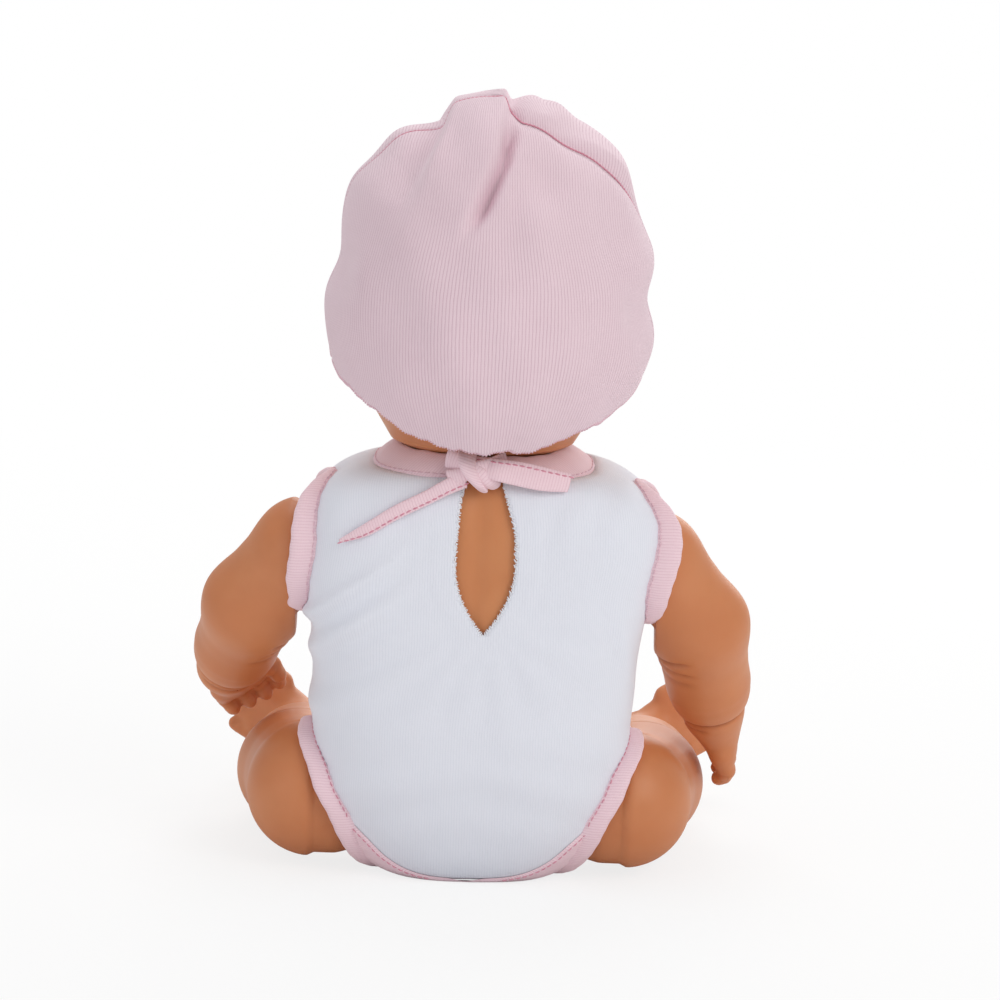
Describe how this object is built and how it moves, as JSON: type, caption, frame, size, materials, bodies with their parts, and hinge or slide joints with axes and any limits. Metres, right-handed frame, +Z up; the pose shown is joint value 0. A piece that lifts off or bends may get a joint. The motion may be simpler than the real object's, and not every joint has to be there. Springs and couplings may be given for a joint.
{
  "type": "interactive baby doll",
  "caption": "Seated baby doll with jointed head, arms and legs, knitted hat and sleeveless bodysuit, over a hard torso that holds a sound module with a belly press button.",
  "frame": {"origin": "on the flat underside of the bodysuit's crotch, on the doll's middle plane and on the plane where the two torso halves meet", "axes": "+Z up through the seated doll's head, -Y the way the doll faces, +X towards the doll's left hand"},
  "size_m": [0.1787, 0.1624, 0.2587],
  "materials": {
    "torso_plastic": "satin",
    "skin_vinyl": "satin",
    "eye_plastic": "gloss",
    "hat_knit": "rib knit",
    "suit_knit": "fine knit",
    "binding_knit": "rib knit",
    "snap_plastic": "gloss",
    "steel": "plated",
    "cell_wrap": "gloss",
    "board": "satin",
    "black_plastic": "matte",
    "knob_plastic": "satin",
    "plug_plastic": "satin"
  },
  "bodies": {
    "torso": {"torso_front": "torso_plastic", "torso_rear": "torso_plastic", "housing_screws": "steel", "bodysuit_back": "suit_knit", "bodysuit_front": "suit_knit", "neck_binding": "binding_knit", "tie_knot": "binding_knit", "tie_tail_left": "binding_knit", "tie_tail_right": "binding_knit", "armhole_binding_left": "binding_knit", "armhole_binding_right": "binding_knit", "leg_binding": "binding_knit", "crotch_snaps": "snap_plastic", "battery_door": "torso_plastic", "door_screw": "steel", "battery_cells": "cell_wrap", "battery_springs": "steel", "battery_contacts": "steel", "circuit_board": "board", "board_screws": "steel", "sound_chip": "black_plastic", "tact_switch": "black_plastic", "button_spring": "steel", "speaker": "black_plastic", "speaker_retainer": "plug_plastic", "retainer_screws": "steel", "power_switch_housing": "black_plastic"},
    "head": {"neck_plug": "plug_plastic", "head_shell": "skin_vinyl", "eye_left": "eye_plastic", "eye_right": "eye_plastic", "hat_back_panel": "hat_knit", "hat_front_panel": "hat_knit", "hat_peak": "hat_knit"},
    "left_arm": {"shoulder_plug_left": "plug_plastic", "arm_left": "skin_vinyl"},
    "right_arm": {"shoulder_plug_right": "plug_plastic", "arm_right": "skin_vinyl"},
    "left_leg": {"hip_plug_left": "plug_plastic", "leg_left": "skin_vinyl"},
    "right_leg": {"hip_plug_right": "plug_plastic", "leg_right": "skin_vinyl"},
    "belly_button": {"press_button": "torso_plastic"},
    "power_knob": {"power_switch_knob": "knob_plastic"}
  },
  "joints": [
    {"name": "head_turn", "type": "hinge", "parent": "torso", "child": "head", "pos_m": [0, 0, 0.133], "axis": [0, 0, 1], "range_deg": [-75, 75]},
    {"name": "left_shoulder", "type": "hinge", "parent": "torso", "child": "left_arm", "pos_m": [0.0475, 0, 0.103], "axis": [-1, 0, 0], "range_deg": [0, 120]},
    {"name": "right_shoulder", "type": "hinge", "parent": "torso", "child": "right_arm", "pos_m": [-0.0475, 0, 0.103], "axis": [-1, 0, 0], "range_deg": [0, 120]},
    {"name": "left_hip", "type": "hinge", "parent": "torso", "child": "left_leg", "pos_m": [0.033, 0, 0.024], "axis": [1, 0, 0], "range_deg": [0, 80]},
    {"name": "right_hip", "type": "hinge", "parent": "torso", "child": "right_leg", "pos_m": [-0.033, 0, 0.024], "axis": [1, 0, 0], "range_deg": [0, 80]},
    {"name": "belly_press", "type": "slide", "parent": "torso", "child": "belly_button", "axis": [0, 1, 0], "range_m": [0, 0.0015], "stiffness_N_per_m": 400, "springref_m": -0.003, "deforming": ["button_spring"]},
    {"name": "power_slide", "type": "slide", "parent": "torso", "child": "power_knob", "axis": [0, 0, 1], "range_m": [0, 0.004]}
  ]
}
